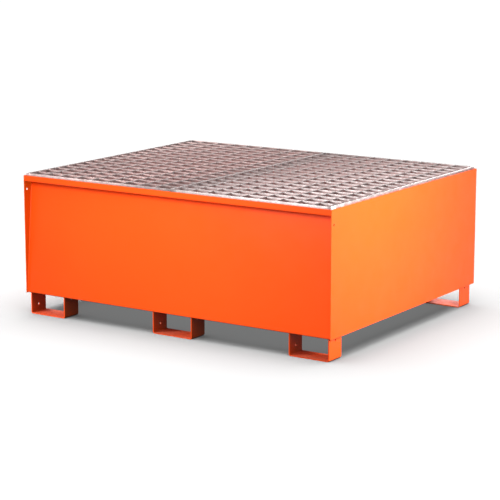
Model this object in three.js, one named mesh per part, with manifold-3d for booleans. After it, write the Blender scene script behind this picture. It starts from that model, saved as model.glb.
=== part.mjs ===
// Spill containment pallet: a welded steel sump on six strip feet, with two lift-off gratings.
//
// Millimetres, +Z up. +X runs along the long side and the front faces -Y. The origin is on the ground,
// below the middle of the pallet. Plates that are welded to each other keep the small CONTACT_GAP.

import * as THREE from 'three';
import { mergeVertices } from 'three/addons/utils/BufferGeometryUtils.js';
import Module from 'manifold-3d';

const wasm = await Module();
wasm.setup();

// ---- Driving dimensions -------------------------------------------------------------------------

const LENGTH = 1650;
const DEPTH = 1330;
const FOOT_HEIGHT = 100;
const BODY_HEIGHT = 553;

const SHEET = 3;
const CONTACT_GAP = 0.3;
const BEND_RADIUS = 3;
const BEND_STEPS = 4;

// Each end is a leaning wall with a floor flange, and on top of it a folded rim: a lip in front of the
// gratings and a ledge under them.
const LIP_HEIGHT = 28;
const WALL_RECESS_TOP = 53.5;
const WALL_RECESS_TOE = 7;
const FLOOR_FLANGE = 30;

const BONDING_HOLE = { radius: 5.5, fromFront: 20, fromTop: 66 };

const SIDE_LEDGE = { width: 30, height: 30 };
const BEAM = { width: 60, height: 80, sheet: 4 };
const BRACKET = { seat: 50, leg: 50, sheet: 4 };

const FOOT = { depth: 100, strip: 5, fromCentre: 600, bendRadius: 4 };
const CORNER_FOOT = { length: 200, fromCentre: 710 };
const MIDDLE_FOOT = { length: 212, fromCentre: 0 };
const FOOT_HOLE = { radius: 5, lowHeight: 38, highHeight: 86 };

const GRATING = { height: 35, bar: 3, cellsAlong: 9, cellsAcross: 19 };
const CROSS_BAR = { height: 20, belowTop: 0.5 };
const GRATING_SEAM_GAP = 3;
const GRATING_SIDE_GAP = 8;
const GRATING_END_GAP = 5;

// ---- Places that follow from them ---------------------------------------------------------------

const RIM_Z = FOOT_HEIGHT + BODY_HEIGHT;
const LEDGE_Z = RIM_Z - LIP_HEIGHT + SHEET;
const GRATING_Z = LEDGE_Z + CONTACT_GAP;
const INNER_LENGTH = LENGTH - 2 * SHEET;
const FITTED_LENGTH = INNER_LENGTH - 2 * CONTACT_GAP;

const wallCentre = {
  lipY: -DEPTH / 2 + SHEET / 2,
  ledgeZ: LEDGE_Z - SHEET / 2,
  topY: -DEPTH / 2 + WALL_RECESS_TOP + SHEET / 2,
  toeY: -DEPTH / 2 + WALL_RECESS_TOE + SHEET / 2,
  toeZ: FOOT_HEIGHT + SHEET / 2,
};
const WALL_SLOPE = (wallCentre.topY - wallCentre.toeY) / (wallCentre.ledgeZ - wallCentre.toeZ);

const AXIS_X = new THREE.Vector3(1, 0, 0);
const AXIS_Y = new THREE.Vector3(0, 1, 0);
const AXIS_Z = new THREE.Vector3(0, 0, 1);

// ---- Materials ----------------------------------------------------------------------------------

function orangeCoating() {
  return new THREE.MeshStandardMaterial({ color: 0xf4571c, roughness: 0.42, metalness: 0.0 });
}

function galvanisedSteel() {
  return new THREE.MeshStandardMaterial({ color: 0xc8c2bd, roughness: 0.48, metalness: 0.85 });
}

// ---- Shape helpers ------------------------------------------------------------------------------

/** Depth of the front wall's middle surface at a height. */
function wallCentreY(z) {
  return wallCentre.topY - WALL_SLOPE * (wallCentre.ledgeZ - z);
}

/** Depth of the front wall's inner surface at a height. */
function wallInnerY(z) {
  return wallCentreY(z) + (SHEET / 2) * Math.hypot(1, WALL_SLOPE);
}

/** Points and left-hand normals round one rounded corner of a strip's middle line. */
function bendPoints(before, corner, after, radius) {
  const into = corner.clone().sub(before).normalize();
  const out = after.clone().sub(corner).normalize();
  const turn = Math.atan2(into.cross(out), into.dot(out));
  const side = Math.sign(turn);
  const start = corner.clone().addScaledVector(into, -radius * Math.tan(Math.abs(turn) / 2));
  const startNormal = new THREE.Vector2(-into.y, into.x);
  const centre = start.clone().addScaledVector(startNormal, side * radius);
  const points = [];
  for (let step = 0; step <= BEND_STEPS; step += 1) {
    const normal = startNormal.clone().rotateAround(new THREE.Vector2(), (turn * step) / BEND_STEPS);
    points.push({ point: centre.clone().addScaledVector(normal, -side * radius), normal });
  }
  return points;
}

/** Outline of a bent strip whose middle line runs through the given corners. */
function bentStrip(corners, thickness, innerRadius) {
  const line = corners.map(([across, up]) => new THREE.Vector2(across, up));
  const last = line.length - 1;
  const endNormal = (from, to) => {
    const along = to.clone().sub(from).normalize();
    return new THREE.Vector2(-along.y, along.x);
  };
  const middle = [{ point: line[0], normal: endNormal(line[0], line[1]) }];
  for (let i = 1; i < last; i += 1) {
    middle.push(...bendPoints(line[i - 1], line[i], line[i + 1], innerRadius + thickness / 2));
  }
  middle.push({ point: line[last], normal: endNormal(line[last - 1], line[last]) });
  const face = (offset) => middle.map(({ point, normal }) => point.clone().addScaledVector(normal, offset));
  return new THREE.Shape([...face(thickness / 2), ...face(-thickness / 2).reverse()]);
}

/** A shape drawn on two axes, extruded to both sides along their cross product. */
function prism(shape, length, across, up) {
  const geometry = new THREE.ExtrudeGeometry(shape, { depth: length, bevelEnabled: false });
  geometry.translate(0, 0, -length / 2);
  const along = new THREE.Vector3().crossVectors(across, up);
  return geometry.applyMatrix4(new THREE.Matrix4().makeBasis(across, up, along));
}

function toSolid(geometry) {
  const bare = geometry.clone();
  bare.deleteAttribute('normal');
  bare.deleteAttribute('uv');
  const merged = mergeVertices(bare, 1e-4);
  const vertProperties = new Float32Array(merged.attributes.position.array);
  const triVerts = new Uint32Array(merged.index.array);
  return new wasm.Manifold(new wasm.Mesh({ numProp: 3, vertProperties, triVerts }));
}

function toGeometry(solid) {
  const mesh = solid.getMesh();
  const geometry = new THREE.BufferGeometry();
  geometry.setAttribute('position', new THREE.BufferAttribute(new Float32Array(mesh.vertProperties), 3));
  geometry.setIndex(new THREE.BufferAttribute(new Uint32Array(mesh.triVerts), 1));
  geometry.computeVertexNormals();
  return geometry;
}

function named(name, geometry, material, x = 0, y = 0, z = 0) {
  const mesh = new THREE.Mesh(geometry, material);
  mesh.name = name;
  mesh.position.set(x, y, z);
  return mesh;
}

// ---- Sump ---------------------------------------------------------------------------------------

/** Leaning end wall with its floor flange. It is drawn as the front one. */
function endWall(name) {
  const cornerRise = (SHEET / 2) * WALL_SLOPE;
  const topZ = wallCentre.ledgeZ - SHEET / 2 - CONTACT_GAP - cornerRise;
  const corners = [
    [wallCentreY(topZ), topZ],
    [wallCentre.toeY, wallCentre.toeZ],
    [wallCentre.toeY + FLOOR_FLANGE, wallCentre.toeZ],
  ];
  const shape = bentStrip(corners, SHEET, BEND_RADIUS);
  return named(name, prism(shape, FITTED_LENGTH, AXIS_Y, AXIS_Z), orangeCoating());
}

/** Folded rim on an end wall: the lip and the ledge. It is drawn as the front one. */
function endRim(name) {
  const corners = [
    [wallCentre.lipY, RIM_Z],
    [wallCentre.lipY, wallCentre.ledgeZ],
    [wallInnerY(wallCentre.ledgeZ), wallCentre.ledgeZ],
  ];
  const shape = bentStrip(corners, SHEET, BEND_RADIUS);
  return named(name, prism(shape, FITTED_LENGTH, AXIS_Y, AXIS_Z), orangeCoating());
}

/** Flat side panel with one bonding hole near its front top corner. */
function sidePanel(name, x) {
  const shape = new THREE.Shape();
  shape.moveTo(-DEPTH / 2, FOOT_HEIGHT);
  shape.lineTo(DEPTH / 2, FOOT_HEIGHT);
  shape.lineTo(DEPTH / 2, RIM_Z);
  shape.lineTo(-DEPTH / 2, RIM_Z);
  shape.closePath();
  const hole = new THREE.Path();
  const holeY = -DEPTH / 2 + BONDING_HOLE.fromFront;
  hole.absarc(holeY, RIM_Z - BONDING_HOLE.fromTop, BONDING_HOLE.radius, 0, 2 * Math.PI, true);
  shape.holes.push(hole);
  return named(name, prism(shape, SHEET, AXIS_Y, AXIS_Z), orangeCoating(), x);
}

function floorPlate() {
  const flangeEndY = wallCentre.toeY + FLOOR_FLANGE + CONTACT_GAP;
  const geometry = new THREE.BoxGeometry(FITTED_LENGTH, -2 * flangeEndY, SHEET);
  return named('floor_plate', geometry, orangeCoating(), 0, 0, wallCentre.toeZ);
}

/** Angle welded inside a side panel, which carries the outer edge of a grating. */
function sideLedge(name, side) {
  const wallX = INNER_LENGTH / 2 - CONTACT_GAP - SHEET / 2;
  const topZ = LEDGE_Z - SHEET / 2;
  const corners = [
    [wallX - SIDE_LEDGE.width + SHEET / 2, topZ],
    [wallX, topZ],
    [wallX, LEDGE_Z - SIDE_LEDGE.height],
  ];
  const shape = bentStrip(corners, SHEET, BEND_RADIUS);
  const length = -2 * (wallInnerY(topZ) + CONTACT_GAP);
  const mesh = named(name, prism(shape, length, AXIS_X, AXIS_Z), orangeCoating());
  mesh.rotation.z = side > 0 ? 0 : Math.PI;
  return mesh;
}

/** Channel, open downwards, under the seam between the two gratings. */
function seamBeam() {
  const webX = (BEAM.width - BEAM.sheet) / 2;
  const topZ = LEDGE_Z - BEAM.sheet / 2;
  const bottomZ = LEDGE_Z - BEAM.height;
  const shape = bentStrip([[-webX, bottomZ], [-webX, topZ], [webX, topZ], [webX, bottomZ]],
    BEAM.sheet, BEND_RADIUS);
  const length = -2 * (wallInnerY(topZ) + CONTACT_GAP);
  return named('seam_beam', prism(shape, length, AXIS_X, AXIS_Z), orangeCoating());
}

/** Angle cleat on an end wall, under one end of the seam beam. Drawn as the front one. */
function beamBracket(name) {
  const seatZ = LEDGE_Z - BEAM.height - CONTACT_GAP - BRACKET.sheet / 2;
  const fromWall = (CONTACT_GAP + BRACKET.sheet / 2) * Math.hypot(1, WALL_SLOPE);
  const cornerY = wallInnerY(seatZ) + fromWall;
  const legZ = seatZ - BRACKET.leg;
  const corners = [
    [cornerY + BRACKET.seat, seatZ],
    [cornerY, seatZ],
    [wallInnerY(legZ) + fromWall, legZ],
  ];
  const shape = bentStrip(corners, BRACKET.sheet, BEND_RADIUS);
  return named(name, prism(shape, BEAM.width, AXIS_Y, AXIS_Z), orangeCoating());
}

/** Puts a piece drawn at the front at the rear, turned half round. */
function atRear(mesh) {
  mesh.rotation.z = Math.PI;
  return mesh;
}

function sump() {
  const group = new THREE.Group();
  const panelX = (LENGTH - SHEET) / 2;
  group.add(floorPlate());
  group.add(endWall('front_wall'), atRear(endWall('rear_wall')));
  group.add(endRim('front_rim'), atRear(endRim('rear_rim')));
  group.add(sidePanel('side_panel_left', -panelX), sidePanel('side_panel_right', panelX));
  group.add(sideLedge('side_ledge_left', -1), sideLedge('side_ledge_right', 1));
  group.add(seamBeam());
  group.add(beamBracket('beam_bracket_front'), atRear(beamBracket('beam_bracket_rear')));
  return group;
}

// ---- Feet ---------------------------------------------------------------------------------------

/** Strip bent into a U, with one hole low in its left leg and one high in its right leg. */
function footGeometry(length) {
  const legX = (length - FOOT.strip) / 2;
  const topZ = FOOT_HEIGHT - CONTACT_GAP;
  const soleZ = FOOT.strip / 2;
  const shape = bentStrip([[-legX, topZ], [-legX, soleZ], [legX, soleZ], [legX, topZ]],
    FOOT.strip, FOOT.bendRadius);
  let solid = toSolid(prism(shape, FOOT.depth, AXIS_X, AXIS_Z));
  for (const [x, z] of [[-legX, FOOT_HOLE.lowHeight], [legX, FOOT_HOLE.highHeight]]) {
    const drill = new THREE.CylinderGeometry(FOOT_HOLE.radius, FOOT_HOLE.radius, 4 * FOOT.strip, 16);
    drill.rotateZ(Math.PI / 2);
    drill.translate(x, 0, z);
    solid = solid.subtract(toSolid(drill));
  }
  return toGeometry(solid);
}

function feet() {
  const group = new THREE.Group();
  const columns = [
    { name: 'left', foot: CORNER_FOOT, x: -CORNER_FOOT.fromCentre },
    { name: 'middle', foot: MIDDLE_FOOT, x: MIDDLE_FOOT.fromCentre },
    { name: 'right', foot: CORNER_FOOT, x: CORNER_FOOT.fromCentre },
  ];
  const rows = [
    { name: 'front', y: -FOOT.fromCentre },
    { name: 'rear', y: FOOT.fromCentre },
  ];
  for (const row of rows) {
    for (const column of columns) {
      const geometry = footGeometry(column.foot.length);
      group.add(named(`foot_${row.name}_${column.name}`, geometry, orangeCoating(), column.x, row.y));
    }
  }
  return group;
}

// ---- Gratings -----------------------------------------------------------------------------------

const GRATING_LENGTH = INNER_LENGTH / 2 - GRATING_SIDE_GAP - GRATING_SEAM_GAP / 2;
const GRATING_DEPTH = DEPTH - 2 * SHEET - 2 * GRATING_END_GAP;
const CELL_ALONG = (GRATING_LENGTH - GRATING.bar) / GRATING.cellsAlong;
const CELL_ACROSS = (GRATING_DEPTH - GRATING.bar) / GRATING.cellsAcross;

/** Inner bars of one grating joined into one lattice: bearing bars along X, cross bars along Y. */
function latticeGeometry() {
  const barLength = GRATING_LENGTH - 2 * (GRATING.bar + CONTACT_GAP);
  const crossLength = GRATING_DEPTH - 2 * (GRATING.bar + CONTACT_GAP);
  const bars = [];
  for (let row = 1; row < GRATING.cellsAcross; row += 1) {
    const bar = new THREE.BoxGeometry(barLength, GRATING.bar, GRATING.height);
    const y = (row - GRATING.cellsAcross / 2) * CELL_ACROSS;
    bars.push(bar.translate(0, y, GRATING.height / 2));
  }
  for (let column = 1; column < GRATING.cellsAlong; column += 1) {
    const bar = new THREE.BoxGeometry(GRATING.bar, crossLength, CROSS_BAR.height);
    const x = (column - GRATING.cellsAlong / 2) * CELL_ALONG;
    bars.push(bar.translate(x, 0, GRATING.height - CROSS_BAR.belowTop - CROSS_BAR.height / 2));
  }
  return toGeometry(bars.map(toSolid).reduce((lattice, bar) => lattice.add(bar)));
}

/** One grating: its lattice inside four border bars. side is -1 on the left and 1 on the right. */
function grating(name, side) {
  const group = new THREE.Group();
  group.position.set((side * (GRATING_SEAM_GAP + GRATING_LENGTH)) / 2, 0, GRATING_Z);
  group.add(named(`grid_${name}`, latticeGeometry(), galvanisedSteel()));

  const longBar = new THREE.BoxGeometry(GRATING_LENGTH, GRATING.bar, GRATING.height);
  const shortLength = GRATING_DEPTH - 2 * (GRATING.bar + CONTACT_GAP);
  const shortBar = new THREE.BoxGeometry(GRATING.bar, shortLength, GRATING.height);
  const barY = (GRATING_DEPTH - GRATING.bar) / 2;
  const barX = (GRATING_LENGTH - GRATING.bar) / 2;
  const barZ = GRATING.height / 2;
  group.add(named(`border_${name}_front`, longBar, galvanisedSteel(), 0, -barY, barZ));
  group.add(named(`border_${name}_rear`, longBar, galvanisedSteel(), 0, barY, barZ));
  group.add(named(`border_${name}_seam`, shortBar, galvanisedSteel(), -side * barX, 0, barZ));
  group.add(named(`border_${name}_side`, shortBar, galvanisedSteel(), side * barX, 0, barZ));
  return group;
}

// ---- Assembly -----------------------------------------------------------------------------------

const pallet = new THREE.Group();
pallet.add(sump(), feet(), grating('left', -1), grating('right', 1));

export default pallet;
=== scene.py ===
"""Looks of the spill containment pallet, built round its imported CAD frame.

Metres, +Z up. +X runs along the long side and the front faces -Y, as in the CAD model.
"""

import math
import random

import bmesh
import bpy
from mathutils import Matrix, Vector


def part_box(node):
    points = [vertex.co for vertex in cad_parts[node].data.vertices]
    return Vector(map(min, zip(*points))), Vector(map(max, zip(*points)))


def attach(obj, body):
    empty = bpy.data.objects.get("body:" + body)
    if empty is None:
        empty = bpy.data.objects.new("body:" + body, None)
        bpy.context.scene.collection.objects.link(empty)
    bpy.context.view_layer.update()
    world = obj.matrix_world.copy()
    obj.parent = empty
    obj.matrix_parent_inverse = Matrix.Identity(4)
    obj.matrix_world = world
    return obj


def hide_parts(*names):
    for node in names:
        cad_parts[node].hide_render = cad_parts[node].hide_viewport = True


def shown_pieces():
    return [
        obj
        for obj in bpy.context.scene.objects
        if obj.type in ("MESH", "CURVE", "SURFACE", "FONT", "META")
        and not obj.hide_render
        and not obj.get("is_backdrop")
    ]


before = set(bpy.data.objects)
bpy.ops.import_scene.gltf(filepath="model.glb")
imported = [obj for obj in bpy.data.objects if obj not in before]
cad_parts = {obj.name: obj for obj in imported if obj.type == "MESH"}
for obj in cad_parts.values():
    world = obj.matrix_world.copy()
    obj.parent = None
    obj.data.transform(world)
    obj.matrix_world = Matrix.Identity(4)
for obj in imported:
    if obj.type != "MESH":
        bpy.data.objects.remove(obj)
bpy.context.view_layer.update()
scene = bpy.context.scene

MM = 0.001
X_AXIS, Y_AXIS, Z_AXIS = Vector((1, 0, 0)), Vector((0, 1, 0)), Vector((0, 0, 1))
# The two sides and the two ends, each with its direction along X or Y.
SIDES = (("left", -1), ("right", 1))
ENDS = (("front", -1), ("rear", 1))
FEET = [f"{end}_{column}" for end, _ in ENDS for column in ("left", "middle", "right")]


# ---- Main sizes, read from the frame ------------------------------------------------------------

PANEL_LOW, PANEL_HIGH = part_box("side_panel_right")
WALL_LOW, WALL_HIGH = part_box("front_wall")
RIM_LOW, RIM_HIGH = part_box("front_rim")
FLOOR_LOW, FLOOR_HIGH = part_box("floor_plate")
BEAM_LOW, BEAM_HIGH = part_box("seam_beam")
BRACKET_LOW, BRACKET_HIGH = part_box("beam_bracket_front")
LEDGE_LOW, LEDGE_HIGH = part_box("side_ledge_right")

BODY_BOTTOM, BODY_TOP = FLOOR_LOW.z, RIM_HIGH.z
SHEET = PANEL_HIGH.x - PANEL_LOW.x
HALF_SHEET = SHEET / 2


# ---- Sizes that a box doesn't show, as in the CAD model -----------------------------------------

CONTACT_GAP = 0.3 * MM
BEND_RADIUS = 3 * MM
FLOOR_FLANGE = 30 * MM
WALL_RECESS_TOE = 7 * MM
BONDING_HOLE_RADIUS = 5.5 * MM
BONDING_HOLE_FROM_FRONT = 20 * MM
BONDING_HOLE_FROM_TOP = 66 * MM
BEAM_SHEET = 4 * MM
BRACKET_LEG = 50 * MM
FOOT_STRIP = 5 * MM
FOOT_BEND = 4 * MM
FOOT_HOLE_RADIUS = 5 * MM
FOOT_HOLE_IN_LEFT_LEG = 38 * MM
FOOT_HOLE_IN_RIGHT_LEG = 86 * MM
BAR = 3 * MM
CELLS_ALONG = 9
CELLS_ACROSS = 19
CROSS_BAR_HEIGHT = 20 * MM
CROSS_BAR_DROP = 0.5 * MM


# ---- Front wall, from which the rear one is turned round ----------------------------------------

RIM_LINE_Y = RIM_LOW.y + HALF_SHEET
LEDGE_LINE_Z = RIM_LOW.z + HALF_SHEET
TOE_LINE_Z = WALL_LOW.z + HALF_SHEET
TOE_LINE_Y = RIM_LOW.y + WALL_RECESS_TOE + HALF_SHEET
WALL_TOP_INNER_Y = RIM_HIGH.y
WALL_SLOPE = (WALL_TOP_INNER_Y - SHEET - (TOE_LINE_Y - HALF_SHEET)) / (LEDGE_LINE_Z - TOE_LINE_Z)


def wall_line_y(z):
    """Depth of the front wall's middle surface at a height."""
    return TOE_LINE_Y + WALL_SLOPE * (z - TOE_LINE_Z)


def wall_face_y(z, inside):
    """Depth of the front wall's inner or outer surface at a height."""
    half = HALF_SHEET * math.hypot(1, WALL_SLOPE)
    return wall_line_y(z) + (half if inside else -half)


def wall_point(x, z, outward, inside):
    """A point on either end wall's inner or outer surface. The wall faces along outward."""
    return Vector((x, -outward * wall_face_y(z, inside), z))


# ---- Camera -------------------------------------------------------------------------------------

CAMERA_AIM = Vector((-0.0222, 0.0103, 0.2775))
CAMERA_DISTANCE = 8.5
CAMERA_AZIMUTH = math.radians(33.41)
CAMERA_ELEVATION = math.radians(11.42)
CAMERA_LENS = 130.0


def make_camera():
    data = bpy.data.cameras.new("camera")
    data.lens = CAMERA_LENS
    camera = bpy.data.objects.new("camera", data)
    scene.collection.objects.link(camera)
    flat = math.cos(CAMERA_ELEVATION)
    back = Vector((math.sin(CAMERA_AZIMUTH) * flat, -math.cos(CAMERA_AZIMUTH) * flat,
                   math.sin(CAMERA_ELEVATION)))
    camera.location = CAMERA_AIM + CAMERA_DISTANCE * back
    camera.rotation_euler = (math.pi / 2 - CAMERA_ELEVATION, 0, CAMERA_AZIMUTH)
    scene.camera = camera


# ---- Floor and light ----------------------------------------------------------------------------

FLOOR_REACH = 60.0
FLOOR_COLOUR = (0.08, 0.08, 0.08)
FLOOR_ROUGHNESS = 0.9
DOME_HEIGHTS, DOME_STRENGTHS = (-0.1, 0.6), (0.03, 1.15)

# Colours of light. Green takes the red out of the strip of left panel beside the front wall, and the
# tub's orange is what the tub throws up at the gratings.
WHITE = (1.0, 1.0, 1.0)
CREAM = (1.0, 0.98, 0.93)
ROSE = (1.0, 0.75, 0.72)
GREEN = (0.05, 1.0, 0.3)
TUB_ORANGE = (1.0, 0.27, 0.19)
COOL_WHITE = (0.97, 1.0, 1.0)

# Each softbox: name, place, aim, width and height, the group of pieces that it lights, watts, colour.
SOFTBOXES = (
    ("side_softbox", (2.1, -0.36, 1.0), (0.825, -0.3, 0.5), (0.6, 0.4), "side", 72, WHITE),
    ("left_softbox", (-2.6, 0.1, 1.3), (-0.825, 0, 0.4), (1.0, 0.6), "side", 60, WHITE),
    ("rear_softbox", (0, 2.4, 1.3), (0, 0.66, 0.4), (1.2, 0.6), "side", 48, WHITE),
    ("front_softbox", (-0.05, -1.96, 1.17), (-0.05, -0.66, 0.25), (0.6, 0.6), "front", 36.5, WHITE),
    ("front_bar_softbox", (0.6, -2.2, 1.2), (0.4, -0.66, 0.66), (0.8, 0.3), "front_bar", 13, CREAM),
    ("corner_softbox", (-2.0, -2.6, 1.1), (-0.1, -0.6, 0.05), (0.6, 0.4), "corner", 82, WHITE),
    ("strip_softbox", (0.6, -3.0, 0.6), (-0.82, -0.64, 0.4), (0.5, 0.5), "strip", 60, GREEN),
    ("grating_right_softbox", (-0.15, -1.8, 0.95), (0.4, -0.4, 0.65), (0.8, 0.3), "grating_right", 6.5,
     WHITE),
    ("grating_left_softbox", (-2.8, -1.3, 0.92), (-0.4, -0.2, 0.65), (1.0, 0.25), "grating_left", 16, ROSE),
    ("grating_left_fill", (-1.1, -1.5, 0.8), (-0.7, -0.5, 0.65), (0.3, 0.1), "grating_left", 1.4, ROSE),
    ("grating_top_sheen", (-2.0, 2.6, 1.3), (0, 0, 0.66), (2.5, 0.6), "grating", 13, WHITE),
    ("grating_overhead", (0, 0, 3), (0, 0.01, 0), (2.4, 2.4), "grating", 42, WHITE),
    ("tub_glow", (0, 0, 0.3), (0, 0, 1), (1.4, 1.1), "grating", 6.0, TUB_ORANGE),
    ("under_fill", (0, 0, 0.07), (0, 0, 0), (1.58, 1.26), "floor", 14.0, COOL_WHITE),
)
# Each sun straight above the floor: name, how wide it looks in degrees, strength.
FLOOR_SUNS = (("floor_sun", 25, 7.8), ("floor_dome", 75, 30.2))

# Groups of lights. The bars in EXTRA_GROUPS are lit by these groups as well as by their grating's own.
LIGHT_GROUPS = ("side", "front", "corner", "strip", "front_bar", "grating", "grating_left", "grating_right",
                "floor")
EXTRA_GROUPS = {"edge_bar_right_side": ("side",), "edge_bar_right_front": ("front_bar",)}


def make_world():
    """A white studio dome, dimmer towards the horizon. The standard view transform keeps its white."""
    world = bpy.data.worlds.new("studio")
    world.use_nodes = True
    graph = Graph(world.node_tree, "Generated")
    background = world.node_tree.nodes["Background"]
    graph.join(WHITE, background.inputs["Color"])
    graph.join(graph.remap(graph.height(), DOME_HEIGHTS, DOME_STRENGTHS), background.inputs["Strength"])
    scene.world = world
    scene.view_settings.view_transform = "Standard"


def add_light(name, kind, lit, power, colour):
    """A light that the camera doesn't see and that lights only the objects in one collection."""
    data = bpy.data.lights.new(name, kind)
    data.energy = power
    data.color = colour
    light = bpy.data.objects.new(name, data)
    scene.collection.objects.link(light)
    light.visible_camera = False
    light.light_linking.receiver_collection = lit
    return light


def make_lights(lit):
    """All the lights. lit holds, for each group, the collection of pieces that its lights reach."""
    for name, place, aim, size, group, power, colour in SOFTBOXES:
        softbox = add_light(name, "AREA", lit[group], power, colour)
        softbox.data.shape = "RECTANGLE"
        softbox.data.size, softbox.data.size_y = size
        softbox.location = place
        softbox.rotation_euler = (Vector(aim) - Vector(place)).to_track_quat("-Z", "Y").to_euler()
    for name, width, strength in FLOOR_SUNS:
        sun = add_light(name, "SUN", lit["floor"], strength, WHITE)
        sun.data.angle = math.radians(width)


def light_groups(piece):
    """The groups of lights that light one piece of the pallet."""
    if "galvanised_zinc" in piece.data.materials:
        grating = "grating_right" if "_right" in piece.name else "grating_left"
        return ("grating", grating, *EXTRA_GROUPS.get(piece.name, ()))
    if piece.name == "left_panel_sheet":
        return "side", "corner", "strip"
    if "foot" in piece.name:
        return "side", "corner"
    return "side", "front"


def make_floor(lit):
    """A plain floor, dark but strongly lit, so that the pallet's orange hardly tints it."""
    mesh = bpy.data.meshes.new("studio_floor")
    corners = [(x * FLOOR_REACH, y * FLOOR_REACH, 0) for x, y in ((-1, -1), (1, -1), (1, 1), (-1, 1))]
    mesh.from_pydata(corners, [], [(0, 1, 2, 3)])
    floor = bpy.data.objects.new("studio_floor", mesh)
    scene.collection.objects.link(floor)
    lit.objects.link(floor)
    material, _, shader = new_material("studio_floor")
    shader.inputs["Base Color"].default_value = (*FLOOR_COLOUR, 1)
    shader.inputs["Specular IOR Level"].default_value = 0.0
    shader.inputs["Roughness"].default_value = FLOOR_ROUGHNESS
    mesh.materials.append(material)
    floor.visible_diffuse = False
    floor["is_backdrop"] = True


# ---- Materials ----------------------------------------------------------------------------------

# Base colours, as linear values.
COAT_DEEP, COAT_BRIGHT, COAT_SPECKLE = (0.89, 0.070, 0.004), (0.95, 0.080, 0.006), (0.98, 0.11, 0.012)
# The middle colour on the next line is painted shade, laid on the feet's inner faces where the tub and legs
# close in.
DUST_COLOUR, FOOT_SHADE_COLOUR, WORN_COAT = (0.36, 0.22, 0.17), (0.12, 0.07, 0.02), (0.40, 0.060, 0.022)
# The three zinc colours on the next line are tinted pink: painted reflection of the orange tub's light.
ZINC_DARK, ZINC_BRIGHT, ZINC_OXIDE = (0.49, 0.432, 0.424), (0.63, 0.565, 0.556), (0.45, 0.405, 0.40)

WORN_SOLE = 14 * MM
WORN_EDGE = 3.5 * MM
SHELTER_REACH = 0.4
SPANGLES_PER_METRE = 95.0
OXIDE_COVER = 0.6


def new_material(name):
    material = bpy.data.materials.new(name)
    material.use_nodes = True
    return material, material.node_tree, material.node_tree.nodes["Principled BSDF"]


class Graph:
    """Short ways to add nodes to one material, or to the world. A span is a pair, low and high."""

    def __init__(self, tree, coordinates="Object"):
        self.tree = tree
        self.place = self.add("TexCoord").outputs[coordinates]

    def join(self, source, socket):
        """Gives an input its number, its colour or another node's output."""
        if isinstance(source, (int, float)):
            socket.default_value = source
        elif isinstance(source, tuple):
            socket.default_value = (*source, 1)
        else:
            self.tree.links.new(source, socket)

    def add(self, kind, inputs=None, **settings):
        """A new node with the given settings and inputs."""
        node = self.tree.nodes.new(f"ShaderNode{kind}")
        for name, value in settings.items():
            setattr(node, name, value)
        for name, source in (inputs or {}).items():
            self.join(source, node.inputs[name])
        return node

    def noise(self, scale, detail=2.0, roughness=0.5):
        """Noise from 0 to 1. The scale counts features per metre."""
        inputs = {"Vector": self.place, "Scale": scale, "Detail": detail, "Roughness": roughness}
        return self.add("TexNoise", inputs).outputs["Fac"]

    def cells(self, scale, output):
        return self.add("TexVoronoi", {"Vector": self.place, "Scale": scale}).outputs[output]

    def z_of(self, vector):
        return self.add("SeparateXYZ", {"Vector": vector}).outputs["Z"]

    def height(self):
        return self.z_of(self.place)

    def facing_up(self):
        """1 where the surface lies level and looks up, 0 on walls and undersides."""
        return self.remap(self.z_of(self.add("NewGeometry").outputs["Normal"]), (0.8, 0.98), (0.0, 1.0))

    def sheltered(self, reach, span):
        """1 where other surfaces close in within the given reach, 0 in the open."""
        node = self.add("AmbientOcclusion", {"Distance": reach}, samples=8)
        return self.remap(node.outputs["AO"], span, (1.0, 0.0))

    def remap(self, source, span, onto):
        """The source stretched from one span onto another, and held at the ends of it."""
        inputs = {"Value": source, "From Min": span[0], "From Max": span[1],
                  "To Min": onto[0], "To Max": onto[1]}
        return self.add("MapRange", inputs).outputs["Result"]

    def maths(self, operation, first, second):
        return self.add("Math", {0: first, 1: second}, operation=operation).outputs["Value"]

    def mix(self, factor, first, second):
        inputs = {"Factor": factor, "A": first, "B": second}
        return self.add("Mix", inputs, data_type="RGBA").outputs["Result"]

    def bump(self, height, distance, strength=1.0, after=None):
        node = self.add("Bump", {"Height": height, "Distance": distance, "Strength": strength})
        if after is not None:
            self.join(after, node.inputs["Normal"])
        return node.outputs["Normal"]


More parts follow.
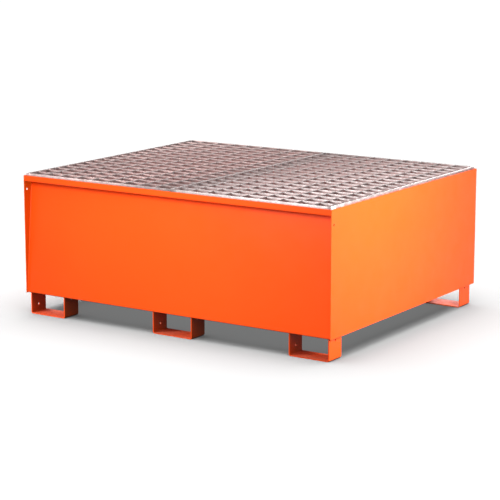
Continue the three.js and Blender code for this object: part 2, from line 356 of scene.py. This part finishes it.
def orange_powder_coat():
    """Satin orange powder coat: orange peel, waves in the sheet, dust, painted shade inside the feet, worn
    edges.
    """
    material, tree, shader = new_material("orange_powder_coat")
    graph = Graph(tree)

    # Tone and speckle
    colour = graph.mix(graph.noise(3.0, 3.0), COAT_DEEP, COAT_BRIGHT)
    speckle = graph.remap(graph.noise(900.0, 1.0), (0.62, 0.75), (0.0, 0.25))
    colour = graph.mix(speckle, colour, COAT_SPECKLE)

    # A film of dust on level faces
    level = graph.facing_up()
    film = graph.remap(graph.noise(9.0, 5.0, 0.6), (0.35, 0.65), (0.12, 0.38))
    dust = graph.maths("MULTIPLY", level, film)
    colour = graph.mix(dust, colour, DUST_COLOUR)

    # Painted shade: the upright faces inside the feet darkened where the tub and legs close in on them
    in_feet = graph.remap(graph.height(), (BODY_BOTTOM - 1.5 * MM, BODY_BOTTOM - 0.5 * MM), (0.85, 0.0))
    upright = graph.maths("SUBTRACT", 1.0, level)
    on_legs = graph.maths("MULTIPLY", in_feet, upright)
    painted_foot_shade = graph.maths("MULTIPLY", graph.sheltered(SHELTER_REACH, (0.1, 0.45)), on_legs)
    colour = graph.mix(painted_foot_shade, colour, FOOT_SHADE_COLOUR)

    # Rubbed soles, chipped rim and chipped bottom edge
    near_floor = graph.remap(graph.height(), (0.0, WORN_SOLE), (1.0, 0.0))
    near_rim = graph.remap(graph.height(), (BODY_TOP - WORN_EDGE, BODY_TOP), (0.0, 1.0))
    above_feet = graph.remap(graph.height(), (BODY_BOTTOM - 1 * MM, BODY_BOTTOM), (0.0, 1.0))
    under_edge = graph.remap(graph.height(), (BODY_BOTTOM, BODY_BOTTOM + WORN_EDGE), (0.7, 0.0))
    edges = graph.maths("MAXIMUM", near_rim, graph.maths("MULTIPLY", under_edge, above_feet))
    grain = graph.noise(120.0, 6.0, 0.7)
    rub = graph.remap(grain, (0.46, 0.60), (0.0, 0.75))
    chips = graph.remap(grain, (0.54, 0.64), (0.0, 0.8))
    wear = graph.maths("MAXIMUM", graph.maths("MULTIPLY", near_floor, rub),
                       graph.maths("MULTIPLY", edges, chips))
    graph.join(graph.mix(wear, colour, WORN_COAT), shader.inputs["Base Color"])

    # Sheen
    satin = graph.remap(graph.noise(14.0, 4.0), (0.3, 0.7), (0.32, 0.42))
    dull = graph.maths("ADD", graph.maths("MULTIPLY", wear, 0.3), dust)
    graph.join(graph.maths("ADD", satin, dull), shader.inputs["Roughness"])
    graph.join(0.19, shader.inputs["Specular IOR Level"])

    # Relief: waves in the sheet, orange peel, and wear that eats into the coat
    waves = graph.bump(graph.noise(5.0, 1.0), 2.5 * MM)
    orange_peel = graph.bump(graph.noise(330.0, 2.0, 0.45), 0.16 * MM, after=waves)
    graph.join(graph.bump(wear, -0.1 * MM, 0.6, after=orange_peel), shader.inputs["Normal"])
    return material


def galvanised_zinc():
    """Hot-dip zinc: spangled crystals in greys tinted pink as painted reflection of the orange tub, dull
    oxide bloom, a soft uneven skin.
    """
    material, tree, shader = new_material("galvanised_zinc")
    graph = Graph(tree)
    crystal = graph.add("SeparateColor", {"Color": graph.cells(SPANGLES_PER_METRE, "Color")}).outputs
    colour = graph.mix(crystal["Red"], ZINC_DARK, ZINC_BRIGHT)
    oxide = graph.remap(graph.noise(26.0, 5.0, 0.6), (0.5, 0.68), (0.0, OXIDE_COVER))
    graph.join(graph.mix(oxide, colour, ZINC_OXIDE), shader.inputs["Base Color"])
    graph.join(graph.remap(oxide, (0.0, OXIDE_COVER), (0.92, 0.70)), shader.inputs["Metallic"])

    satin = graph.remap(crystal["Green"], (0.0, 1.0), (0.30, 0.42))
    dull = graph.maths("MULTIPLY", oxide, 0.25)
    graph.join(graph.maths("ADD", satin, dull), shader.inputs["Roughness"])

    facets = graph.bump(graph.cells(SPANGLES_PER_METRE, "Distance"), 0.1 * MM, 0.6)
    skin = graph.bump(graph.noise(180.0, 3.0), 0.08 * MM, after=facets)
    graph.join(skin, shader.inputs["Normal"])
    return material


# ---- Mesh helpers -------------------------------------------------------------------------------

EDGE_ROUNDING = 0.4 * MM
EDGE_SEGMENTS = 2
EDGE_ANGLE = math.radians(40)


def add_piece(name, mesh, material, slot, body, *nodes, edge):
    """A finished piece: smooth, with its edges rounded by the given radius, riding on its body."""
    mesh.materials.append(material)
    mesh.shade_smooth()
    piece = bpy.data.objects.new(name, mesh)
    scene.collection.objects.link(piece)
    if edge:
        bevel = piece.modifiers.new("rounded_edges", "BEVEL")
        bevel.width = edge
        bevel.segments = EDGE_SEGMENTS
        bevel.limit_method = "ANGLE"
        bevel.angle_limit = EDGE_ANGLE
        bevel.harden_normals = True
    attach(piece, body)
    if nodes:
        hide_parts(*nodes)


def add_coated(name, mesh, coat, *nodes, edge=EDGE_ROUNDING):
    """A powder-coated piece of the sump."""
    add_piece(name, mesh, coat, "orange_coating", "sump", *nodes, edge=edge)


def bend_points(before, corner, after, radius, steps):
    """Points and left-hand normals round one rounded corner of a strip's middle line."""
    into, out = (corner - before).normalized(), (after - corner).normalized()
    turn = math.atan2(into.x * out.y - into.y * out.x, into.dot(out))
    side = math.copysign(1, turn)
    normal = Vector((-into.y, into.x))
    start = corner - into * radius * math.tan(abs(turn) / 2)
    centre = start + normal * side * radius
    points = []
    for step in range(steps + 1):
        angle = turn * step / steps
        turned = Vector((normal.x * math.cos(angle) - normal.y * math.sin(angle),
                         normal.x * math.sin(angle) + normal.y * math.cos(angle)))
        points.append((centre - turned * side * radius, turned))
    return points


def bent_outline(corners, thickness, inner_radius, steps=8):
    """Outline of a bent strip whose middle line runs through the given corners."""
    line = [Vector(corner) for corner in corners]

    def end_normal(start, end):
        along = (end - start).normalized()
        return Vector((-along.y, along.x))

    middle = [(line[0], end_normal(line[0], line[1]))]
    for before, corner, after in zip(line, line[1:], line[2:]):
        middle += bend_points(before, corner, after, inner_radius + thickness / 2, steps)
    middle.append((line[-1], end_normal(line[-2], line[-1])))
    left = [point + normal * thickness / 2 for point, normal in middle]
    right = [point - normal * thickness / 2 for point, normal in middle]
    return left + right[::-1]


def rectangle(low, high):
    """Outline of a box, seen along X."""
    return [(low.y, low.z), (high.y, low.z), (high.y, high.z), (low.y, high.z)]


def along_x(u, v, w):
    return w, u, v


def along_y(u, v, w):
    return u, w, v


def extrude(name, outline, low, high, place, turn=1):
    """A closed prism. place(u, v, w) gives the point for outline point (u, v) at w along the prism.

    A turn of -1 mirrors the outline from left to right.
    """
    mesh = bpy.data.meshes.new(name)
    count = len(outline)
    points = [place(turn * u, v, w) for w in (low, high) for u, v in outline]
    faces = [(i, (i + 1) % count, count + (i + 1) % count, count + i) for i in range(count)]
    faces += [tuple(range(count))[::-1], tuple(range(count, 2 * count))]
    mesh.from_pydata(points, [], faces)
    mesh.validate()
    bm = bmesh.new()
    bm.from_mesh(mesh)
    bmesh.ops.recalc_face_normals(bm, faces=bm.faces)
    bm.to_mesh(mesh)
    bm.free()
    return mesh


def drill(mesh, centre, radius, depth, sides):
    """Cuts a round hole through a mesh, along X."""
    bm = bmesh.new()
    bmesh.ops.create_cone(bm, cap_ends=True, segments=sides, radius1=radius, radius2=radius, depth=depth)
    turn = X_AXIS.to_track_quat("Z", "Y").to_matrix()
    bmesh.ops.rotate(bm, verts=bm.verts, cent=(0, 0, 0), matrix=turn)
    bmesh.ops.translate(bm, verts=bm.verts, vec=centre)
    cutter_mesh = bpy.data.meshes.new("cutter")
    bm.to_mesh(cutter_mesh)
    bm.free()
    cutter = bpy.data.objects.new("cutter", cutter_mesh)
    blank = bpy.data.objects.new("blank", mesh)
    for each in (cutter, blank):
        scene.collection.objects.link(each)
    cut = blank.modifiers.new("hole", "BOOLEAN")
    cut.operation = "DIFFERENCE"
    cut.solver = "EXACT"
    cut.object = cutter
    evaluated = blank.evaluated_get(bpy.context.evaluated_depsgraph_get())
    drilled = bpy.data.meshes.new_from_object(evaluated)
    drilled.name = mesh.name
    for each in (cutter, blank):
        bpy.data.objects.remove(each)
    return drilled


def join_rings(bm, rings):
    """Closes a row of equal rings of vertices into one solid."""
    count = len(rings[0])
    for ring, following in zip(rings, rings[1:]):
        for i in range(count):
            j = (i + 1) % count
            bm.faces.new((ring[i], ring[j], following[j], following[i]))
    bm.faces.new(rings[0][::-1])
    bm.faces.new(rings[-1])


def built_mesh(name, build):
    """A mesh filled by build(bm), with its faces turned outwards."""
    bm = bmesh.new()
    build(bm)
    bmesh.ops.recalc_face_normals(bm, faces=bm.faces)
    mesh = bpy.data.meshes.new(name)
    bm.to_mesh(mesh)
    bm.free()
    return mesh


# ---- Sump ---------------------------------------------------------------------------------------


def make_end_walls(coat):
    """Both leaning walls with their floor flanges, and the rims with the ledges under the gratings."""
    top_z = WALL_HIGH.z
    wall = bent_outline([(wall_line_y(top_z), top_z), (TOE_LINE_Y, TOE_LINE_Z),
                         (TOE_LINE_Y + FLOOR_FLANGE, TOE_LINE_Z)], SHEET, BEND_RADIUS)
    rim = bent_outline([(RIM_LINE_Y, RIM_HIGH.z), (RIM_LINE_Y, LEDGE_LINE_Z), (RIM_HIGH.y, LEDGE_LINE_Z)],
                       SHEET, BEND_RADIUS)
    for end, outward in ENDS:
        for part, outline, low, high in (("wall", wall, WALL_LOW, WALL_HIGH),
                                         ("rim", rim, RIM_LOW, RIM_HIGH)):
            mesh = extrude(f"{end}_{part}_sheet", outline, low.x, high.x, along_x, -outward)
            add_coated(f"{end}_{part}_sheet", mesh, coat, f"{end}_{part}")


def make_side_panels(coat):
    for side, _ in SIDES:
        low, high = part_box(f"side_panel_{side}")
        mesh = extrude(f"{side}_panel_sheet", rectangle(low, high), low.x, high.x, along_x)
        hole = Vector(((low.x + high.x) / 2, low.y + BONDING_HOLE_FROM_FRONT,
                       high.z - BONDING_HOLE_FROM_TOP))
        mesh = drill(mesh, hole, BONDING_HOLE_RADIUS, 4 * SHEET, sides=48)
        add_coated(f"{side}_panel_sheet", mesh, coat, f"side_panel_{side}")


def make_floor_plate(coat):
    mesh = extrude("floor_sheet", rectangle(FLOOR_LOW, FLOOR_HIGH), FLOOR_LOW.x, FLOOR_HIGH.x, along_x)
    add_coated("floor_sheet", mesh, coat, "floor_plate")


def make_side_ledges(coat):
    top = LEDGE_HIGH.z - HALF_SHEET
    corner = LEDGE_HIGH.x - HALF_SHEET
    angle = bent_outline([(LEDGE_LOW.x, top), (corner, top), (corner, LEDGE_LOW.z)], SHEET, BEND_RADIUS)
    for side, across in SIDES:
        mesh = extrude(f"{side}_ledge_angle", angle, LEDGE_LOW.y, LEDGE_HIGH.y, along_y, across)
        add_coated(f"{side}_ledge_angle", mesh, coat, f"side_ledge_{side}")


def make_seam_beam(coat):
    web = BEAM_HIGH.x - BEAM_SHEET / 2
    top = BEAM_HIGH.z - BEAM_SHEET / 2
    channel = bent_outline([(-web, BEAM_LOW.z), (-web, top), (web, top), (web, BEAM_LOW.z)],
                           BEAM_SHEET, BEND_RADIUS)
    mesh = extrude("seam_channel", channel, BEAM_LOW.y, BEAM_HIGH.y, along_y)
    add_coated("seam_channel", mesh, coat, "seam_beam")


def make_cleats(coat):
    """The angles on the end walls that carry the seam beam."""
    seat = BRACKET_HIGH.z - BEAM_SHEET / 2
    toe = seat - BRACKET_LEG
    clear = (BEAM_SHEET / 2 + CONTACT_GAP) * math.hypot(1, WALL_SLOPE)
    cleat = bent_outline([(BRACKET_HIGH.y, seat), (wall_face_y(seat, True) + clear, seat),
                          (wall_face_y(toe, True) + clear, toe)], BEAM_SHEET, BEND_RADIUS)
    for end, outward in ENDS:
        mesh = extrude(f"{end}_cleat", cleat, BRACKET_LOW.x, BRACKET_HIGH.x, along_x, -outward)
        add_coated(f"{end}_cleat", mesh, coat, f"beam_bracket_{end}")


def make_feet(coat):
    for foot in FEET:
        low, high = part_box(f"foot_{foot}")
        left, right = low.x + FOOT_STRIP / 2, high.x - FOOT_STRIP / 2
        sole = low.z + FOOT_STRIP / 2
        outline = bent_outline([(left, high.z), (left, sole), (right, sole), (right, high.z)],
                               FOOT_STRIP, FOOT_BEND, steps=10)
        mesh = extrude(f"{foot}_foot_strip", outline, low.y, high.y, along_y)
        for x, z in ((left, FOOT_HOLE_IN_LEFT_LEG), (right, FOOT_HOLE_IN_RIGHT_LEG)):
            hole = Vector((x, (low.y + high.y) / 2, z))
            mesh = drill(mesh, hole, FOOT_HOLE_RADIUS, 4 * FOOT_STRIP, sides=32)
        add_coated(f"{foot}_foot_strip", mesh, coat, f"foot_{foot}")


# ---- Welds --------------------------------------------------------------------------------------

# Sections of a bead, in shares of its size: in an inner corner, and over the seam of two flush sheets.
FILLET_SECTION = ((-0.1, -0.1), (1.0, -0.1), (0.82, 0.36), (0.6, 0.6), (0.36, 0.82), (-0.1, 1.0))
BUTT_SECTION = ((-1.0, -0.1), (1.0, -0.1), (0.65, 0.3), (0.0, 0.42), (-0.65, 0.3))
RIPPLE = 5 * MM
STATIONS_PER_RIPPLE = 4
BEAD_WIDTHS = (0.9, 1.06)
RIPPLE_FALL = 0.18
BEAD_END = 0.45
BEAD = 4 * MM
SMALL_BEAD = 3 * MM
STITCH_LENGTH = 40 * MM
STITCH_PITCH = 150 * MM
FLOOR_WELD_OVERRUN = 20 * MM
CLEAT_WELD_TOP = 8 * MM
CLEAT_WELD_TOE = 45 * MM


def add_bead(bm, start, end, first, second, size, rng, section=FILLET_SECTION):
    """A rippled weld bead. The welded surfaces leave its corner along first and second."""
    ripples = max(2, round((end - start).length / RIPPLE))
    count = ripples * STATIONS_PER_RIPPLE
    step = (end - start) / count
    rings = []
    for station in range(count + 1):
        phase = station % STATIONS_PER_RIPPLE
        if phase == 0:
            width = size * rng.uniform(*BEAD_WIDTHS)
        swell = width * (1 - RIPPLE_FALL * phase / STATIONS_PER_RIPPLE)
        if station in (0, count):
            swell *= BEAD_END
        centre = start + step * station
        rings.append([bm.verts.new(centre + first * u * swell + second * v * swell) for u, v in section])
    join_rings(bm, rings)


def add_stitches(bm, start, end, first, second, size, rng):
    """Short beads spaced evenly along a seam."""
    half = (end - start).normalized() * STITCH_LENGTH / 2
    count = max(1, round((end - start).length / STITCH_PITCH))
    for stitch in range(count):
        middle = start.lerp(end, (stitch + 0.5) / count)
        add_bead(bm, middle - half, middle + half, first, second, size, rng)


def make_welds(coat):
    rng = random.Random("welds")

    def corner_welds(bm):
        """End walls to side panels, outside and inside."""
        for _, across in SIDES:
            x = across * PANEL_LOW.x
            for _, outward in ENDS:
                for inside, low, high in ((False, PANEL_LOW.z + SHEET, RIM_LOW.z),
                                          (True, FLOOR_HIGH.z, LEDGE_LOW.z)):
                    start, finish = (wall_point(x, z, outward, inside) for z in (low, high))
                    second = Y_AXIS * (-outward if inside else outward)
                    add_bead(bm, start, finish, X_AXIS * -across, second, BEAD, rng)

    def floor_welds(bm):
        """Floor plate to side panels, and to the flanges of the end walls."""
        for _, across in SIDES:
            edge = Vector((across * FLOOR_HIGH.x, 0, FLOOR_HIGH.z))
            reach = Y_AXIS * (FLOOR_HIGH.y + FLOOR_WELD_OVERRUN)
            add_bead(bm, edge - reach, edge + reach, X_AXIS * -across, Z_AXIS, BEAD, rng)
        for _, outward in ENDS:
            seam = Vector((0, outward * FLOOR_HIGH.y, FLOOR_HIGH.z))
            reach = X_AXIS * (FLOOR_HIGH.x - BEAD)
            add_bead(bm, seam - reach, seam + reach, Y_AXIS, Z_AXIS, BEAD, rng, BUTT_SECTION)

    def foot_welds(bm):
        """Both faces of each leg to the underside."""
        for foot in FEET:
            low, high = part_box(f"foot_{foot}")
            for face, outward in ((low.x, -1), (low.x + FOOT_STRIP, 1),
                                  (high.x - FOOT_STRIP, -1), (high.x, 1)):
                start = Vector((face, low.y + BEAD, BODY_BOTTOM))
                finish = Vector((face, high.y - BEAD, BODY_BOTTOM))
                add_bead(bm, start, finish, X_AXIS * outward, -Z_AXIS, BEAD, rng)

    def rim_and_ledge_welds(bm):
        """Stitches under the rims, and under the side ledges."""
        for _, outward in ENDS:
            under = wall_point(0, RIM_LOW.z, outward, inside=False)
            reach = X_AXIS * WALL_HIGH.x
            add_stitches(bm, under - reach, under + reach, Y_AXIS * outward, -Z_AXIS, SMALL_BEAD, rng)
        for _, across in SIDES:
            under = Vector((across * PANEL_LOW.x, 0, LEDGE_LOW.z))
            reach = Y_AXIS * LEDGE_HIGH.y
            add_stitches(bm, under - reach, under + reach, X_AXIS * -across, -Z_AXIS, SMALL_BEAD, rng)

    def beam_welds(bm):
        """Cleats to the end walls, and the seam beam to its cleats."""
        low, high = BRACKET_HIGH.z - CLEAT_WELD_TOE, BRACKET_HIGH.z - CLEAT_WELD_TOP
        for _, outward in ENDS:
            for _, across in SIDES:
                start, finish = (wall_point(across * BRACKET_HIGH.x, z, outward, True) for z in (low, high))
                add_bead(bm, start, finish, X_AXIS * across, Y_AXIS * -outward, SMALL_BEAD, rng)
                start = Vector((across * BEAM_HIGH.x, -outward * BEAM_LOW.y, BEAM_LOW.z))
                finish = Vector((across * BEAM_HIGH.x, -outward * BRACKET_HIGH.y, BEAM_LOW.z))
                add_bead(bm, start, finish, Z_AXIS, X_AXIS * across, SMALL_BEAD, rng, BUTT_SECTION)

    for name, build in (("corner_welds", corner_welds), ("floor_welds", floor_welds),
                        ("foot_welds", foot_welds), ("rim_and_ledge_welds", rim_and_ledge_welds),
                        ("beam_welds", beam_welds)):
        add_coated(name, built_mesh(name, build), coat, edge=0)


# ---- Gratings -----------------------------------------------------------------------------------

CORNERS = ((1, 1), (-1, 1), (-1, -1), (1, -1))

# Rounding of the bars' edges, the number of places along a bar where it may wander, and how far it does.
BAR_ROUNDING = 0.7 * MM
BEARING_STATIONS = 3 * CELLS_ALONG + 1
CROSS_STATIONS = 2 * CELLS_ACROSS + 1
BEARING_WANDER = 0.15 * MM
CROSS_WANDER = 0.12 * MM

# Zinc in a corner: its section in shares of its size, how it swells from foot to top as (height, scale),
# and the sizes that it comes in.
FILLET_CORNER = ((-0.2, -0.2), (1.0, -0.2), (0.55, 0.16), (0.28, 0.28), (0.16, 0.55), (-0.2, 1.0))
FILLET_GROWTH = ((0.0, 0.3), (0.12, 0.9), (0.5, 1.05), (0.88, 0.9), (1.0, 0.3))
CROSSING_FILLET = 1.6 * MM
CROSSING_SPREAD = (0.7, 1.2)
END_WELD = 3 * MM
END_WELD_SPREAD = (0.8, 1.1)
CORNER_WELD = 4 * MM
WELD_ABOVE_FOOT = 2 * MM
FILLET_BELOW_TOP = 1 * MM


def rounded_section(width, height, radius, steps=3):
    """Outline of a flat bar's section, centred, with rounded corners."""
    outline = []
    for corner, (sx, sy) in enumerate(CORNERS):
        centre = Vector((sx * (width / 2 - radius), sy * (height / 2 - radius)))
        for step in range(steps + 1):
            angle = math.pi / 2 * (corner + step / steps)
            outline.append(centre + radius * Vector((math.cos(angle), math.sin(angle))))
    return outline


def add_bar(bm, section, start, end, across, up, stations, wander, rng):
    """One bar swept from start to end, its line wandering a little as hot-dipped bars do."""
    along = (end - start) / (stations - 1)
    rings = []
    for station in range(stations):
        drift = 0 if station in (0, stations - 1) else rng.uniform(-wander, wander)
        centre = start + along * station + across * drift
        rings.append([bm.verts.new(centre + across * u + up * v) for u, v in section])
    join_rings(bm, rings)


def add_corner_fillet(bm, x, y, sx, sy, low, high, size):
    """An upright concave fillet in the corner at (x, y) that opens towards (sx, sy), thinner at its ends."""
    rings = []
    for height, scale in FILLET_GROWTH:
        z = low + (high - low) * height
        rings.append([bm.verts.new((x + sx * u * size * scale, y + sy * v * size * scale, z))
                      for u, v in FILLET_CORNER])
    join_rings(bm, rings)


def make_grating(side, zinc):
    rng = random.Random(f"bars {side}")
    front_low, front_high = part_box(f"border_{side}_front")
    _, rear_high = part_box(f"border_{side}_rear")
    grid_low, grid_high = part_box(f"grid_{side}")
    low, high = front_low, Vector((front_high.x, rear_high.y, front_high.z))
    middle = (low + high) / 2
    cell_along = (high.x - low.x - BAR) / CELLS_ALONG
    cell_across = (high.y - low.y - BAR) / CELLS_ACROSS
    rows = [middle.y + (row - CELLS_ACROSS / 2) * cell_across for row in range(1, CELLS_ACROSS)]
    columns = [middle.x + (column - CELLS_ALONG / 2) * cell_along for column in range(1, CELLS_ALONG)]
    bearing = rounded_section(BAR, high.z - low.z, BAR_ROUNDING)
    cross = rounded_section(BAR, CROSS_BAR_HEIGHT, BAR_ROUNDING)
    cross_top = high.z - CROSS_BAR_DROP
    cross_middle = cross_top - CROSS_BAR_HEIGHT / 2

    def add_zinc(name, build, *nodes):
        add_piece(name, built_mesh(name, build), zinc, "galvanised_steel", f"grating_{side}", *nodes, edge=0)

    def bearing_bars(bm):
        for y in rows:
            add_bar(bm, bearing, Vector((grid_low.x, y, middle.z)), Vector((grid_high.x, y, middle.z)),
                    Y_AXIS, Z_AXIS, BEARING_STATIONS, BEARING_WANDER, rng)

    def cross_bars(bm):
        for x in columns:
            add_bar(bm, cross, Vector((x, grid_low.y, cross_middle)), Vector((x, grid_high.y, cross_middle)),
                    X_AXIS, Z_AXIS, CROSS_STATIONS, CROSS_WANDER, rng)

    def zinc_fillets(bm):
        """Zinc drawn into the corners: at the crossings, and at the bar ends as welds."""
        inner_low, inner_high = low + Vector((BAR, BAR, 0)), high - Vector((BAR, BAR, 0))
        x_ends = ((inner_low.x, 1), (inner_high.x, -1))
        y_ends = ((inner_low.y, 1), (inner_high.y, -1))
        half = BAR / 2
        foot, top = cross_top - CROSS_BAR_HEIGHT, cross_top - FILLET_BELOW_TOP
        for x in columns:
            for y in rows:
                for sx, sy in CORNERS:
                    add_corner_fillet(bm, x + sx * half, y + sy * half, sx, sy, foot, top,
                                      CROSSING_FILLET * rng.uniform(*CROSSING_SPREAD))
            for y, sy in y_ends:
                for sx in (-1, 1):
                    add_corner_fillet(bm, x + sx * half, y, sx, sy, foot, top,
                                      END_WELD * rng.uniform(*END_WELD_SPREAD))
        foot, top = low.z + WELD_ABOVE_FOOT, high.z - FILLET_BELOW_TOP
        for y in rows:
            for x, sx in x_ends:
                for sy in (-1, 1):
                    add_corner_fillet(bm, x, y + sy * half, sx, sy, foot, top,
                                      END_WELD * rng.uniform(*END_WELD_SPREAD))
        for x, sx in x_ends:
            for y, sy in y_ends:
                add_corner_fillet(bm, x, y, sx, sy, foot, top, CORNER_WELD)

    add_zinc(f"bearing_bars_{side}", bearing_bars, f"grid_{side}")
    add_zinc(f"cross_bars_{side}", cross_bars, f"grid_{side}")
    add_zinc(f"zinc_fillets_{side}", zinc_fillets)

    for edge, along, across in (("front", X_AXIS, Y_AXIS), ("rear", X_AXIS, Y_AXIS),
                                ("seam", Y_AXIS, X_AXIS), ("side", Y_AXIS, X_AXIS)):
        bar_low, bar_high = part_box(f"border_{side}_{edge}")
        centre = (bar_low + bar_high) / 2
        reach = along * along.dot(bar_high - bar_low) / 2

        def edge_bar(bm):
            add_bar(bm, bearing, centre - reach, centre + reach, across, Z_AXIS, BEARING_STATIONS, 0, rng)

        add_zinc(f"edge_bar_{side}_{edge}", edge_bar, f"border_{side}_{edge}")


# ---- Build --------------------------------------------------------------------------------------

make_camera()
make_world()
lit_by = {group: bpy.data.collections.new(f"{group}_lit") for group in LIGHT_GROUPS}
make_lights(lit_by)
make_floor(lit_by["floor"])

powder_coat = orange_powder_coat()
for make in (make_end_walls, make_side_panels, make_floor_plate, make_side_ledges, make_seam_beam,
             make_cleats, make_feet, make_welds):
    make(powder_coat)
galvanised = galvanised_zinc()
for side, _ in SIDES:
    make_grating(side, galvanised)
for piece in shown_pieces():
    for group in light_groups(piece):
        lit_by[group].objects.link(piece)
